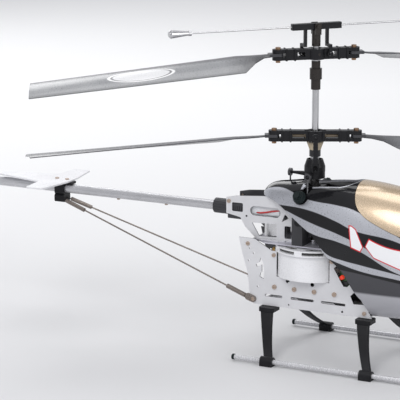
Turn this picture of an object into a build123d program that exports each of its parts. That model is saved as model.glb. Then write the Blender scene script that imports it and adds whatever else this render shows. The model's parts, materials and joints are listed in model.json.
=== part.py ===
"""Coaxial remote control helicopter on a skid landing gear, built as separate pieces.

Frame: +X to the nose, +Y to the left, +Z up, millimetres.  The origin is on the ground
below the middle of the whole model; the rotor mast stands MAST_X ahead of it.
"""
from build123d import *
from math import atan2, cos, degrees, radians, sin
import os

os.makedirs("parts", exist_ok=True)

# ---- driving dimensions -------------------------------------------------------------
TAIL_REACH = 522.0        # mast axis to the rear tip of the tail fin
SKID_Y = 71.2             # skid tube axis, left and right of the middle
SKID_Z = 4.5              # skid tube axis above the ground
SKID_R = 2.4
SKID_REAR_X = -52.0
SKID_FRONT_X = 138.0
FOOT_X = (-16.8, 87.8)    # rear and front foot clamps on the skid tubes
LEG_TOP_X = (-36.2, 67.3)
LEG_TOP_Y = 31.0

SHEET = 1.2               # metal sheet of the frame
PLATE_Y = 26.0            # outer face of the lower side plates
FRAME_BOTTOM_Z = 47.5
UPPER_Y = 16.0            # outer face of the upper side plates
DECK_Z = 111.0            # underside of the deck
DECK_Y = 28.0
BOOM_Z = 137.2
BOOM_R = 4.8
BOOM_FRONT_X = -84.0
BOOM_REAR_X = -498.0
CLIP_X = -287.5           # middle of the boom clip that holds the braces

DRUM_R = 37.0             # gear guard, outside
DRUM_Z = 78.5
DRUM_TOP_Z = 105.1
GEAR_R = 34.6             # tip radius of both main gears
GEAR_TEETH = 80
PINION_TEETH = 12
GEAR_MODULE = 2 * GEAR_R / (GEAR_TEETH + 2)
PINION_R = GEAR_MODULE * (PINION_TEETH + 2) / 2
MOTOR_X = GEAR_MODULE * (GEAR_TEETH + PINION_TEETH) / 2 + 0.15
MOTOR_R = 13.6
UPPER_GEAR_Z = 96.0       # undersides of the two gears
LOWER_GEAR_Z = 85.0
GEAR_WIDTH = 5.0

INNER_R = 3.4             # upper rotor shaft
OUTER_R = 4.4             # lower rotor shaft
OUTER_BORE_R = 3.7
RUN = 0.05                # radial running clearance
GAP = 0.4                 # clearance between neighbouring moving pieces

LOWER_HUB_Z = 218.3
UPPER_HUB_Z = 299.6
FLYBAR_Z = 326.5
SWASH_Z = 179.5
LOWER_AZ = 26.5           # directions of the rotors and of the flybar at rest
UPPER_AZ = 39.6
FLYBAR_AZ = 48.0
ROCK_AZ = FLYBAR_AZ + 90.0   # the upper hub and the flybar rock about this direction
LOWER_HALF = 45.0         # half lengths of the hubs
UPPER_HALF = 43.0
ROOT_BOLT_BACK = 4.8      # blade bolt behind the end of its hub
ROTOR_R = 287.5
BLADE_CHORD = 42.0
BLADE_DROOP = 5.4
HUB_HEIGHT = 10.6
TAB = 3.0                 # thickness of a blade's root tab
FORK_GAP = 3.7
LINK_ARM = 11.5           # flybar links, beside the mast
PITCH_LINK_R = 13.3       # lower pitch links, out from the mast
LUG_R = 1.0               # lugs of the rotating swashplate, in the forks of the links
FLYBAR_TIP_R = 152.6
FLYBAR_ROD_R = 0.9

# The middle of the model's length lies between the rounded tip of the fin and the front
# corner of the lower blade's tip.
TIP_TRAIL = 31.0
front_reach = ROTOR_R * cos(radians(LOWER_AZ)) + TIP_TRAIL * sin(radians(LOWER_AZ)) - 0.5
MAST_X = (TAIL_REACH - 1.0 - front_reach) / 2


# ---- helpers ------------------------------------------------------------------------
def level(z, x=0.0, y=0.0, turn=0.0):
    """Horizontal plane; its x axis points forward, turned about the vertical."""
    forward = (cos(radians(turn)), sin(radians(turn)), 0)
    return Plane(origin=(MAST_X + x, y, z), x_dir=forward, z_dir=(0, 0, 1))


def side(y, x=0.0, z=0.0):
    """Upright plane that faces right; its x runs forward and its y runs up."""
    return Plane(origin=(MAST_X + x, y, z), x_dir=(1, 0, 0), z_dir=(0, -1, 0))


def cross(x, y=0.0, z=0.0):
    """Upright plane that faces the nose; its x runs to the left and its y runs up."""
    return Plane(origin=(MAST_X + x, y, z), x_dir=(0, 1, 0), z_dir=(1, 0, 0))


def across(azimuth, z, out=0.0):
    """Upright plane through the mast whose normal points along the azimuth."""
    ux, uy = cos(radians(azimuth)), sin(radians(azimuth))
    return Plane(origin=(MAST_X + out * ux, out * uy, z), x_dir=(-uy, ux, 0), z_dir=(ux, uy, 0))


def between(start, end):
    """Plane at start, x forward of the mast, whose normal points to end."""
    a = Vector(MAST_X + start[0], start[1], start[2])
    b = Vector(MAST_X + end[0], end[1], end[2])
    return Plane(origin=a, z_dir=(b - a).normalized()), (b - a).length


def save(piece, name):
    piece.part.label = name
    export_step(piece.part, f"parts/{name}.step")


SIDES = (1, -1)           # left and right
STABILISER_SCREW_X = (-6.0, 6.0)
BOOM_SCREW_X = (-220.7, -165.1)

# ---- landing gear -------------------------------------------------------------------
with BuildPart() as skid_tubes:
    for sign in SIDES:
        with BuildSketch(cross(SKID_REAR_X, sign * SKID_Y, SKID_Z)):
            Circle(SKID_R)
            Circle(SKID_R - 0.6, mode=Mode.SUBTRACT)
        extrude(amount=SKID_FRONT_X - SKID_REAR_X)
save(skid_tubes, "skid_tubes")

with BuildPart() as skid_caps:
    for sign in SIDES:
        for x, push in ((SKID_REAR_X, -1), (SKID_FRONT_X, 1)):
            with BuildSketch(cross(x, sign * SKID_Y, SKID_Z)):
                Circle(SKID_R + 0.5)
            extrude(amount=3.0 * push)
            with BuildSketch(cross(x, sign * SKID_Y, SKID_Z)):
                Circle(SKID_R - 0.7)
            extrude(amount=-5.0 * push)
    for end in (0, -1):
        fillet(skid_caps.faces().group_by(Axis.X)[end].edges(), 1.2)
save(skid_caps, "skid_end_caps")

with BuildPart() as skid_legs:
    for sign in SIDES:
        for foot_x, top_x in zip(FOOT_X, LEG_TOP_X):
            # tapered strut from the frame's edge down and out to the foot
            with BuildSketch(level(FRAME_BOTTOM_Z - 4.5, top_x, sign * LEG_TOP_Y)):
                RectangleRounded(13.0, 4.4, 1.2)
            with BuildSketch(level(26.0, top_x + 6.5, sign * (LEG_TOP_Y + 13.5))):
                RectangleRounded(10.6, 4.0, 1.2)
            with BuildSketch(level(SKID_Z + 2.6, foot_x, sign * (SKID_Y - 2.6))):
                RectangleRounded(8.8, 3.8, 1.2)
            loft()
            # mounting flange under the frame's bottom plate
            with BuildSketch(level(FRAME_BOTTOM_Z - 4.8, top_x, sign * (LEG_TOP_Y - 5.0))):
                RectangleRounded(16.5, 16.0, 2.0)
            extrude(amount=4.3)
            with Locations(level(FRAME_BOTTOM_Z - 0.5, top_x, sign * (LEG_TOP_Y - 8.5))):
                Hole(1.1, depth=4.3)
            # foot block round the skid tube, flat below
            with BuildSketch(cross(foot_x - 6.5, sign * SKID_Y, SKID_Z)):
                with BuildLine():
                    Polyline((-4.6, 0), (-4.6, -SKID_Z), (4.6, -SKID_Z), (4.6, 0))
                    ThreePointArc((4.6, 0), (0, 4.6), (-4.6, 0))
                make_face()
            extrude(amount=13.0)
            with BuildSketch(cross(foot_x - 6.5, sign * SKID_Y, SKID_Z)):
                Circle(SKID_R + RUN)
            extrude(amount=13.0, mode=Mode.SUBTRACT)
save(skid_legs, "skid_legs")

# ---- lower frame: two side plates with notches, slots and screw holes ----------------
SCREW_ROW_Z = 67.3
SCREW_ROW_X = (-30.7, -9.1, 12.5, 34.0)
SCREW_ROW = [(x, SCREW_ROW_Z) for x in SCREW_ROW_X]
SPACER_SPOTS = ((-54.0, 52.5), (66.0, 52.0), (-60.0, 108.5))
GUARD_SPOTS = ((-31.5, 99.6), (31.0, 100.0))

with BuildPart() as side_plates:
    for sign in SIDES:
        with BuildSketch(side(sign * PLATE_Y)):
            with BuildLine():
                Polyline((-70.0, 114.0), (-52.5, 114.0), (-46.5, 110.4), (-34.0, 103.8),
                         (29.0, 103.8), (36.5, 97.0), (33.0, 93.5), (43.5, 76.4),
                         (47.5, 76.4), (52.5, 81.4), (58.5, 75.6), (51.0, 67.6),
                         (54.5, 60.0), (67.0, 60.6), (74.2, FRAME_BOTTOM_Z),
                         (-53.0, FRAME_BOTTOM_Z), (-57.5, 54.0), (-60.0, 78.0),
                         (-66.0, 97.5), close=True)
            make_face()
            # open-topped window that the gear guard bulges through
            with Locations((0, (DRUM_Z + DRUM_TOP_Z) / 2 + 5.0)):
                Rectangle(57.0, DRUM_TOP_Z - DRUM_Z + 10.8, mode=Mode.SUBTRACT)
            # long slots, lightening holes and the hooked cutout at the rear
            for slot_x, slot_length in ((-31.5, 19.5), (-0.5, 25.0), (33.0, 26.0)):
                with Locations((slot_x, 57.9)):
                    SlotOverall(slot_length, 2.6, mode=Mode.SUBTRACT)
            for hole_x, hole_z, hole_r in ((-16.4, 74.7, 2.0), (10.3, 74.2, 2.0),
                                           (-15.0, 50.8, 0.9), (42.6, 50.8, 1.1),
                                           (-53.5, 99.4, 1.0), (-59.0, 91.5, 1.0),
                                           (-49.0, 65.8, 1.0), (-58.0, 104.0, 0.8)):
                with Locations((hole_x, hole_z)):
                    Circle(hole_r, mode=Mode.SUBTRACT)
            with BuildLine():
                Polyline((-46.0, 95.5), (-43.2, 90.0), (-42.2, 82.0), (-42.6, 74.0),
                         (-47.0, 76.0), (-46.0, 80.0), (-44.6, 81.0), (-44.8, 88.4),
                         (-50.0, 85.6), (-51.3, 88.2), (-47.4, 90.6), close=True)
            make_face(mode=Mode.SUBTRACT)
            with Locations(*SPACER_SPOTS, *GUARD_SPOTS, *SCREW_ROW):
                Circle(1.3, mode=Mode.SUBTRACT)
        extrude(amount=sign * SHEET)
save(side_plates, "lower_side_plates")

with BuildPart() as bottom_plate:
    with BuildSketch(level(FRAME_BOTTOM_Z, 10.0)):
        RectangleRounded(122.0, 2 * (PLATE_Y - SHEET) - 0.1, 2.0)
        with Locations((-40.0, 0), (0, 0), (40.0, 0)):
            SlotOverall(26.0, 12.0, mode=Mode.SUBTRACT)
        with Locations(*[(x - 10.0, s * (LEG_TOP_Y - 8.5)) for x in LEG_TOP_X for s in (1, -1)]):
            Circle(1.2, mode=Mode.SUBTRACT)
    extrude(amount=SHEET)
save(bottom_plate, "bottom_plate")

# Round spacers between the side plates, each with a clear hole for its screws.
with BuildPart() as spacers:
    with BuildSketch(side(PLATE_Y - SHEET - 0.05)):
        with Locations(*SPACER_SPOTS, *SCREW_ROW):
            Circle(2.7)
            Circle(1.3, mode=Mode.SUBTRACT)
    extrude(amount=2 * (PLATE_Y - SHEET) - 0.1)
save(spacers, "frame_spacers")


def pan_head_screw(plane, head_r, head_h, shank_r, shank):
    """Pan head above the plane and a shank below it, with a straight driver slot."""
    with BuildPart() as screw:
        with BuildSketch(plane):
            Circle(head_r)
        extrude(amount=head_h)
        with BuildSketch(plane):
            Circle(shank_r)
        extrude(amount=-shank)
        with BuildSketch(plane.offset(head_h)):
            Rectangle(head_r * 1.5, head_r * 0.3)
        extrude(amount=-head_h * 0.5, mode=Mode.SUBTRACT)
    return screw.part


# ---- gear guard, deck and upper frame -------------------------------------------------
with BuildPart() as gear_guard:
    with BuildSketch(level(DRUM_Z)):
        Circle(DRUM_R)
        Circle(DRUM_R - 1.2, mode=Mode.SUBTRACT)
    extrude(amount=DRUM_TOP_Z - DRUM_Z)
    with BuildSketch(level(DRUM_Z)):
        Circle(DRUM_R)
        Circle(14.0, mode=Mode.SUBTRACT)
        with PolarLocations(26.0, 6):
            SlotOverall(13.0, 7.0, rotation=90, mode=Mode.SUBTRACT)
    extrude(amount=1.2)
    with BuildSketch(level(DRUM_TOP_Z - 1.0)):
        Circle(DRUM_R + 2.4)
        Circle(DRUM_R - 1.2, mode=Mode.SUBTRACT)
    extrude(amount=1.4)
    # open in front and behind for the two pinions, and cut off square inside the frame
    for sign in (1, -1):
        with BuildSketch(level(DRUM_Z + 1.2, sign * (DRUM_R + 4.0))):
            Rectangle(30.0, 50.0)
        extrude(amount=DRUM_TOP_Z - DRUM_Z + 2.0, mode=Mode.SUBTRACT)
save(gear_guard, "gear_guard")

with BuildPart() as gear_cover:
    # slotted ring between the guard and the deck
    with BuildSketch(level(DECK_Z - 2.4)):
        Circle(DRUM_R + 1.4)
        Circle(11.0, mode=Mode.SUBTRACT)
        with PolarLocations(30.0, 8, start_angle=22.5):
            SlotOverall(15.0, 8.0, rotation=90, mode=Mode.SUBTRACT)
        with Locations((MOTOR_X, 0), (-MOTOR_X, 0)):
            Circle(7.0, mode=Mode.SUBTRACT)
    extrude(amount=1.2)
    for angle in range(0, 360, 45):
        if angle % 180:
            post_x, post_y = 38.0 * cos(radians(angle)), 38.0 * sin(radians(angle))
            with BuildSketch(level(DRUM_TOP_Z + 0.4, post_x, post_y, angle)):
                Rectangle(1.6, 8.0)
            extrude(amount=DECK_Z - 2.4 - DRUM_TOP_Z - 0.4)
save(gear_cover, "gear_cover_ring")

with BuildPart() as deck:
    with BuildSketch(level(DECK_Z)):
        with BuildLine():
            Polyline((-56.0, -16.0), (-41.0, -DECK_Y), (24.5, -DECK_Y), (9.5, -11.0), (58.0, -11.0),
                     (58.0, 11.0), (9.5, 11.0), (24.5, DECK_Y), (-41.0, DECK_Y),
                     (-56.0, 16.0), close=True)
        make_face()
        with Locations((0, 0)):
            Circle(OUTER_R + 3.2, mode=Mode.SUBTRACT)
        with Locations((MOTOR_X, 0), (-MOTOR_X, 0)):
            Circle(4.2, mode=Mode.SUBTRACT)
            with PolarLocations(8.5, 2, start_angle=90):
                Circle(1.1, mode=Mode.SUBTRACT)
    extrude(amount=SHEET)
save(deck, "deck_plate")

UPPER_SCREWS = ((-86.0, 147.0), (4.0, 152.0))
with BuildPart() as upper_plates:
    for sign in SIDES:
        with BuildSketch(side(sign * UPPER_Y)):
            with BuildLine():
                Polyline((-89.0, 134.5), (-89.0, 150.6), (-78.5, 152.9), (-48.0, 155.6),
                         (12.0, 158.0), (12.0, 145.0), (-16.0, 140.5), (-14.8, 127.6),
                         (-14.8, DECK_Z + SHEET), (-56.5, DECK_Z + SHEET), (-68.0, 122.5),
                         (-73.5, 131.6), close=True)
            make_face()
            with Locations((-76.6, 141.6)):
                RectangleRounded(12.0, 9.0, 1.4, mode=Mode.SUBTRACT)
            with Locations((-46.0, 139.8)):
                SlotOverall(33.0, 9.6, mode=Mode.SUBTRACT)
            with BuildLine():
                Polyline((-60.5, 127.4), (-33.5, 128.6), (-33.5, 115.2), (-52.5, 114.6), close=True)
            make_face(mode=Mode.SUBTRACT)
            with Locations((-20.4, 121.4)):
                RectangleRounded(9.0, 12.6, 1.4, mode=Mode.SUBTRACT)
            with BuildLine():
                Polyline((-28.0, 131.4), (-24.6, 139.4), (-19.8, 136.0), close=True)
            make_face(mode=Mode.SUBTRACT)
            with Locations((-66.6, 133.6)):
                Circle(1.1, mode=Mode.SUBTRACT)
            with Locations(*UPPER_SCREWS):
                Circle(1.3, mode=Mode.SUBTRACT)
        extrude(amount=sign * SHEET)
        # foot that is folded outwards and screwed to the deck
        with BuildSketch(level(DECK_Z + SHEET, -38.0, sign * (UPPER_Y + 1.4))):
            Rectangle(30.0, 5.2)
            Circle(1.1, mode=Mode.SUBTRACT)
        extrude(amount=1.0)
save(upper_plates, "upper_side_plates")

with BuildPart() as boom_clamp:
    # ribbed block that holds the boom between the upper plates
    with BuildSketch(cross(-88.0, 0, BOOM_Z)):
        RectangleRounded(2 * (UPPER_Y - SHEET) - 0.1, 17.0, 2.0)
        Circle(BOOM_R + RUN, mode=Mode.SUBTRACT)
    extrude(amount=19.0)
    for step in range(5):
        for sign in (1, -1):
            with BuildSketch(level(BOOM_Z - 5.0, -82.0 + 2.4 * step, sign * (UPPER_Y - SHEET))):
                Rectangle(1.0, 1.6)
            extrude(amount=10.0, mode=Mode.SUBTRACT)
    for sign in (1, -1):
        with Locations(Plane(origin=(MAST_X - 86.0, sign * (UPPER_Y - SHEET), 147.0 - 1.4),
                             z_dir=(0, sign, 0))):
            Hole(1.25, depth=6.0)
    # ribbed nut that clamps the boom behind the block
    with BuildSketch(cross(-108.6, 0, BOOM_Z)):
        Circle(7.6)
        Circle(BOOM_R + RUN, mode=Mode.SUBTRACT)
        with PolarLocations(7.8, 18):
            Circle(0.5, mode=Mode.SUBTRACT)
    extrude(amount=19.2)
save(boom_clamp, "boom_clamp")

with BuildPart() as frame_screws:
    for sign in SIDES:
        plates = ((SPACER_SPOTS, PLATE_Y, 2.0, 8.0), (GUARD_SPOTS, PLATE_Y, 2.0, SHEET),
                  (SCREW_ROW, PLATE_Y, 2.3, 8.0), (UPPER_SCREWS, UPPER_Y, 2.0, SHEET))
        for spots, face_y, head_r, shank in plates:
            for spot_x, spot_z in spots:
                outward = Plane(origin=(MAST_X + spot_x, sign * face_y, spot_z), x_dir=(1, 0, 0),
                                z_dir=(0, sign, 0))
                add(pan_head_screw(outward, head_r, 1.2, 1.2, shank))
    for spot_x in STABILISER_SCREW_X:
        add(pan_head_screw(level(BOOM_Z + 9.3, CLIP_X + spot_x), 2.1, 1.0, 1.0, 1.6))
    for spot_x in BOOM_SCREW_X:
        underside = Plane(origin=(MAST_X + spot_x, 0, BOOM_Z - BOOM_R), z_dir=(0, 0, -1))
        add(pan_head_screw(underside, 1.6, 1.0, 0.9, 0.8))
save(frame_screws, "frame_screws")

BEARING_Z = 150.0
with BuildPart() as bearing_block:
    with BuildSketch(level(BEARING_Z)):
        RectangleRounded(24.0, 2 * (UPPER_Y - SHEET) - 0.1, 2.0)
        Circle(8.0 + RUN, mode=Mode.SUBTRACT)
    extrude(amount=9.0)
    with BuildSketch(level(BEARING_Z + 9.0)):
        RectangleRounded(20.0, 16.0, 2.0)
        Circle(6.5, mode=Mode.SUBTRACT)
    extrude(amount=9.5)
save(bearing_block, "mast_bearing_block")

with BuildPart() as bearings:
    for z, outside_r, height in ((BEARING_Z + 1.0, 8.0, 5.0), (DECK_Z - 0.6, OUTER_R + 3.1, 4.0)):
        with BuildSketch(level(z)):
            Circle(outside_r)
            Circle(OUTER_R + RUN, mode=Mode.SUBTRACT)
        extrude(amount=height)
save(bearings, "mast_bearings")

with BuildPart() as thrust_block:
    # bridge under the gears that carries the foot of the inner shaft
    with BuildSketch(level(FRAME_BOTTOM_Z + 13.0)):
        Rectangle(16.0, 2 * (PLATE_Y - SHEET) - 0.1)
        Circle(INNER_R + RUN, mode=Mode.SUBTRACT)
    extrude(amount=6.0)
    with BuildSketch(level(FRAME_BOTTOM_Z + 19.0)):
        Circle(7.0)
        Circle(INNER_R + RUN, mode=Mode.SUBTRACT)
    extrude(amount=6.0)
    for screw_x in SCREW_ROW_X[1:3]:
        with BuildSketch(side(PLATE_Y, screw_x, SCREW_ROW_Z)):
            Circle(3.2)
        extrude(amount=2 * PLATE_Y, mode=Mode.SUBTRACT)
save(thrust_block, "shaft_thrust_block")

# ---- power: motors, gears, battery, servos, receiver -----------------------------------
MOTOR_HEIGHT = 17.0
with BuildPart() as motors:
    for sign in (-1, 1):
        with BuildSketch(level(DECK_Z + SHEET + 0.02, sign * MOTOR_X)):
            Circle(MOTOR_R)
        extrude(amount=MOTOR_HEIGHT)
    fillet(motors.faces().group_by(Axis.Z)[-1].edges(), 1.6)
    for sign in (-1, 1):
        with BuildSketch(level(DECK_Z - 0.4, sign * MOTOR_X)):
            Circle(4.0)
        extrude(amount=SHEET + 0.42)
        with BuildSketch(level(DECK_Z + SHEET + MOTOR_HEIGHT, sign * MOTOR_X)):
            Circle(4.0)
        extrude(amount=1.6)
        # bore that the motor's shaft turns in
        with BuildSketch(level(DECK_Z - 2.0, sign * MOTOR_X)):
            Circle(1.0 + RUN)
        extrude(amount=12.0, mode=Mode.SUBTRACT)
save(motors, "motor_cans")


def toothed(teeth, tip_r, root_r):
    """Straight-sided gear outline, a trapezoid for each tooth."""
    pitch = 360.0 / teeth
    half_root, half_tip = pitch * 0.27, pitch * 0.13
    corners = []
    for tooth in range(teeth):
        for radius, offset_angle in ((root_r, -half_root), (tip_r, -half_tip),
                                     (tip_r, half_tip), (root_r, half_root)):
            angle = radians(tooth * pitch + offset_angle)
            corners.append((radius * cos(angle), radius * sin(angle)))
    with BuildSketch() as outline:
        with BuildLine():
            Polyline(*corners, close=True)
        make_face()
    return outline.sketch


ROOT_DEPTH = 2.25 * GEAR_MODULE
# The gear on the outer shaft turns the lower rotor, the one on the inner shaft the upper.
for name, gear_z, shaft_r, boss_r in (("lower_drive_gear", UPPER_GEAR_Z, OUTER_R, 9.0),
                                      ("upper_drive_gear", LOWER_GEAR_Z, INNER_R, 8.0)):
    with BuildPart() as gear:
        with BuildSketch(level(gear_z)):
            add(toothed(GEAR_TEETH, GEAR_R, GEAR_R - ROOT_DEPTH))
            with PolarLocations(20.0, 6):
                Circle(5.6, mode=Mode.SUBTRACT)
            Circle(shaft_r, mode=Mode.SUBTRACT)
        extrude(amount=GEAR_WIDTH)
        with BuildSketch(level(gear_z - 1.6)):
            Circle(boss_r)
            Circle(shaft_r, mode=Mode.SUBTRACT)
        extrude(amount=GEAR_WIDTH + 3.2)
    save(gear, name)

for place, sign, gear_z in (("rear", -1, UPPER_GEAR_Z), ("front", 1, LOWER_GEAR_Z)):
    with BuildPart() as pinion:
        # turned by half a tooth, so that a gap faces the main gear's tooth
        with BuildSketch(level(gear_z + 0.3, sign * MOTOR_X, 0, 180.0 / PINION_TEETH)):
            add(toothed(PINION_TEETH, PINION_R - 0.12, PINION_R - ROOT_DEPTH - 0.12))
        extrude(amount=GEAR_WIDTH - 0.6)
        with BuildSketch(level(gear_z - 1.0, sign * MOTOR_X)):
            Circle(1.0)
        extrude(amount=DECK_Z + 9.0 - gear_z)
    save(pinion, f"motor_pinion_{place}")

with BuildPart() as battery:
    with BuildSketch(cross(-64.0, 0, BOOM_Z + 3.2)):
        RectangleRounded(25.0, 13.0, 3.0)
    extrude(amount=32.0)
    fillet(battery.edges().filter_by(GeomType.CIRCLE, reverse=True).group_by(Axis.X)[0], 1.0)
save(battery, "battery_pack")

SERVO_PIVOT_X = -5.0
SERVO_PIVOT_Z = 135.5
with BuildPart() as servos:
    for sign in SIDES:
        with BuildSketch(level(DECK_Z + SHEET + 0.05, -6.0, sign * 18.0)):
            RectangleRounded(12.0, 20.0, 1.0)
        extrude(amount=27.5)
        # mounting ears fore and aft
        with BuildSketch(level(DECK_Z + SHEET + 6.0, -6.0, sign * 14.0)):
            RectangleRounded(17.4, 2.0, 0.6)
        extrude(amount=15.0)
save(servos, "servos")

BOARD_X, BOARD_Z = 51.5, 84.0
with BuildPart() as receiver:
    # board on its edge beside the front notch of the right side plate
    with BuildSketch(side(-20.0, BOARD_X, BOARD_Z)):
        RectangleRounded(27.0, 18.0, 1.5)
    extrude(amount=1.6)
    for x, z, width, height, depth in ((0.5, 4.5, 8.0, 5.0, 1.4), (-7.5, -5.0, 6.0, 4.0, 1.8),
                                       (3.5, -4.0, 7.0, 6.0, 1.6), (10.0, 0.0, 3.0, 12.0, 2.6)):
        with BuildSketch(side(-21.6, BOARD_X + x, BOARD_Z + z)):
            Rectangle(width, height)
        extrude(amount=depth)
    # status light
    with BuildSketch(side(-21.6, BOARD_X - 11.0, BOARD_Z + 0.5)):
        Circle(1.9)
    extrude(amount=2.6)
save(receiver, "receiver_board")

# ---- tail -----------------------------------------------------------------------------
with BuildPart() as tail_boom:
    with BuildSketch(cross(BOOM_REAR_X, 0, BOOM_Z)):
        Circle(BOOM_R)
        Circle(BOOM_R - 0.8, mode=Mode.SUBTRACT)
    extrude(amount=BOOM_FRONT_X - BOOM_REAR_X)
    with BuildSketch(level(BOOM_Z - 2 * BOOM_R)):
        with Locations(*[(spot_x, 0) for spot_x in BOOM_SCREW_X]):
            Circle(0.92)
    extrude(amount=2 * BOOM_R, mode=Mode.SUBTRACT)
save(tail_boom, "tail_boom")

with BuildPart() as boom_clip:
    with BuildSketch(cross(CLIP_X - 5.5, 0, BOOM_Z)):
        RectangleRounded(13.6, 13.6, 4.0)
        with Locations((0, -10.0)):
            RectangleRounded(14.0, 8.0, 2.0)
        Circle(BOOM_R + RUN, mode=Mode.SUBTRACT)
    extrude(amount=11.0)
    # bar along the boom that the stabiliser is screwed to
    with BuildSketch(level(BOOM_Z + 5.2, CLIP_X + 4.0)):
        Rectangle(20.0, 9.0)
    extrude(amount=2.4)
    with BuildSketch(cross(CLIP_X - 9.0, 0, BOOM_Z)):
        Circle(BOOM_R + RUN)
    extrude(amount=30.0, mode=Mode.SUBTRACT)
save(boom_clip, "boom_clip")

with BuildPart() as braces:
    for sign in SIDES:
        clip_end = (CLIP_X + 6.0, sign * 5.0, BOOM_Z - 11.5)
        frame_end = (-54.0, sign * 27.6, 52.5)
        run, run_length = between(clip_end, frame_end)
        for start, length, radius in ((1.0, run_length - 4.0, 0.8), (2.0, 24.0, 2.1),
                                      (run_length - 31.0, 22.0, 2.3)):
            with BuildSketch(run.offset(start)):
                Circle(radius)
            extrude(amount=length)
        # flattened eye round a screw head on the side plate
        with BuildSketch(side(27.45 if sign > 0 else -26.05, -54.0, 52.5)):
            with Locations((-2.6, 0.9)):
                SlotOverall(12.6, 7.0, rotation=-18)
            Circle(2.15, mode=Mode.SUBTRACT)
        extrude(amount=1.4)
save(braces, "tail_braces")

with BuildPart() as stabiliser:
    with BuildSketch(level(BOOM_Z + 7.7, CLIP_X)):
        with BuildLine():
            Polyline((-73.0, -6.0), (-16.0, -20.0), (-14.0, -50.0), (5.0, -50.0), (12.0, -9.0),
                     (12.0, 9.0), (5.0, 50.0), (-14.0, 50.0), (-16.0, 20.0), (-73.0, 6.0),
                     close=True)
        make_face()
    extrude(amount=1.6)
    fillet(stabiliser.edges().filter_by(Axis.Z), 1.8)
    with Locations(level(BOOM_Z + 9.3, CLIP_X)):
        with Locations(*[(spot_x, 0) for spot_x in STABILISER_SCREW_X]):
            Hole(1.1)
save(stabiliser, "horizontal_stabiliser")

FIN_Y = -8.5
TAIL_HUB_X = -491.0
with BuildPart() as tail_fin:
    with BuildSketch(side(FIN_Y + 0.8)):
        with BuildLine():
            Polyline((-470.0, 130.0), (-480.0, 148.0), (-502.0, 196.0), (-TAIL_REACH, 200.0),
                     (-513.0, 152.0), (-514.0, 128.0), (-TAIL_REACH + 8.0, 92.0), (-498.0, 90.0),
                     close=True)
        make_face()
        with Locations((-491.0, BOOM_Z)):
            Circle(1.2, mode=Mode.SUBTRACT)
    extrude(amount=1.6)
    fillet(tail_fin.edges().filter_by(Axis.Y), 4.0)
save(tail_fin, "tail_fin")

with BuildPart() as tail_mount:
    with BuildSketch(cross(BOOM_REAR_X - 3.0, 0, BOOM_Z)):
        RectangleRounded(15.2, 15.2, 3.0)
    extrude(amount=22.0)
    with BuildSketch(cross(BOOM_REAR_X, 0, BOOM_Z)):
        Circle(BOOM_R + RUN)
    extrude(amount=22.0, mode=Mode.SUBTRACT)
    # axle for the tail rotor, with a cap that keeps the rotor on
    for y, radius, length in ((7.5, 3.2, 1.6), (8.6, 1.0, 8.8), (16.4, 2.0, 1.4)):
        with BuildSketch(side(y, TAIL_HUB_X, BOOM_Z)):
            Circle(radius)
        extrude(amount=-length)
save(tail_mount, "tail_mount_block")

with BuildPart() as tail_rotor:
    with BuildSketch(side(9.8, TAIL_HUB_X, BOOM_Z)):
        Circle(4.0)
        Circle(1.0 + RUN, mode=Mode.SUBTRACT)
    extrude(amount=-6.2)
    for turn in (62.0, 242.0):
        ux, uz = cos(radians(turn)), sin(radians(turn))
        hub_point = Vector(MAST_X + TAIL_HUB_X, 12.9, BOOM_Z)
        span = Vector(ux, 0, uz)
        for station, width, angle in ((3.2, 5.0, 34.0), (14.0, 11.0, 24.0), (36.0, 8.0, 14.0)):
            lead = Vector(-uz, 0, ux) * cos(radians(angle)) + Vector(0, 1, 0) * sin(radians(angle))
            with BuildSketch(Plane(origin=hub_point + span * station, x_dir=lead, z_dir=span)):
                Ellipse(width / 2, 0.9)
        loft()
save(tail_rotor, "tail_rotor")

# ---- canopy ---------------------------------------------------------------------------
# Stations from the rear hump to the nose: forward of the mast, crown, keel, half width.
CANOPY_STATIONS = ((-53.0, 159.0, 146.0, 6.0), (-46.0, 166.5, 128.0, 18.0),
                   (-30.0, 170.4, 90.0, 29.0), (0.0, 175.2, 62.0, 38.0),
                   (45.0, 178.8, 48.0, 43.0), (90.0, 174.8, 46.5, 43.5),
                   (130.0, 164.0, 50.0, 39.0), (165.0, 146.0, 62.0, 30.0),
                   (188.0, 126.0, 78.0, 18.0), (200.0, 108.0, 92.0, 6.5))
# Section outline as shares of half width and height, from the keel up to the crown.
CANOPY_SECTION = ((0.0, 0.0), (0.55, 0.035), (0.88, 0.2), (1.0, 0.45), (0.93, 0.7),
                  (0.68, 0.89), (0.36, 0.975), (0.0, 1.0))
WALL = 1.2


def canopy_body(inset):
    """Loft through the stations, drawn inwards by the inset."""
    ends = (CANOPY_STATIONS[0][0], CANOPY_STATIONS[-1][0])
    with BuildPart() as body:
        for x, crown, keel, half in CANOPY_STATIONS:
            pull = {ends[0]: inset, ends[1]: -inset}.get(x, 0.0)
            top, bottom, width = crown - inset, keel + inset, half - inset
            right = [(width * w, bottom + (top - bottom) * h) for w, h in CANOPY_SECTION]
            left = [(-a, b) for a, b in right[-2:0:-1]]
            with BuildSketch(cross(x + pull)):
                with BuildLine():
                    Spline(*right, *left, periodic=True)
                make_face()
        loft()
    return body.part


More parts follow.
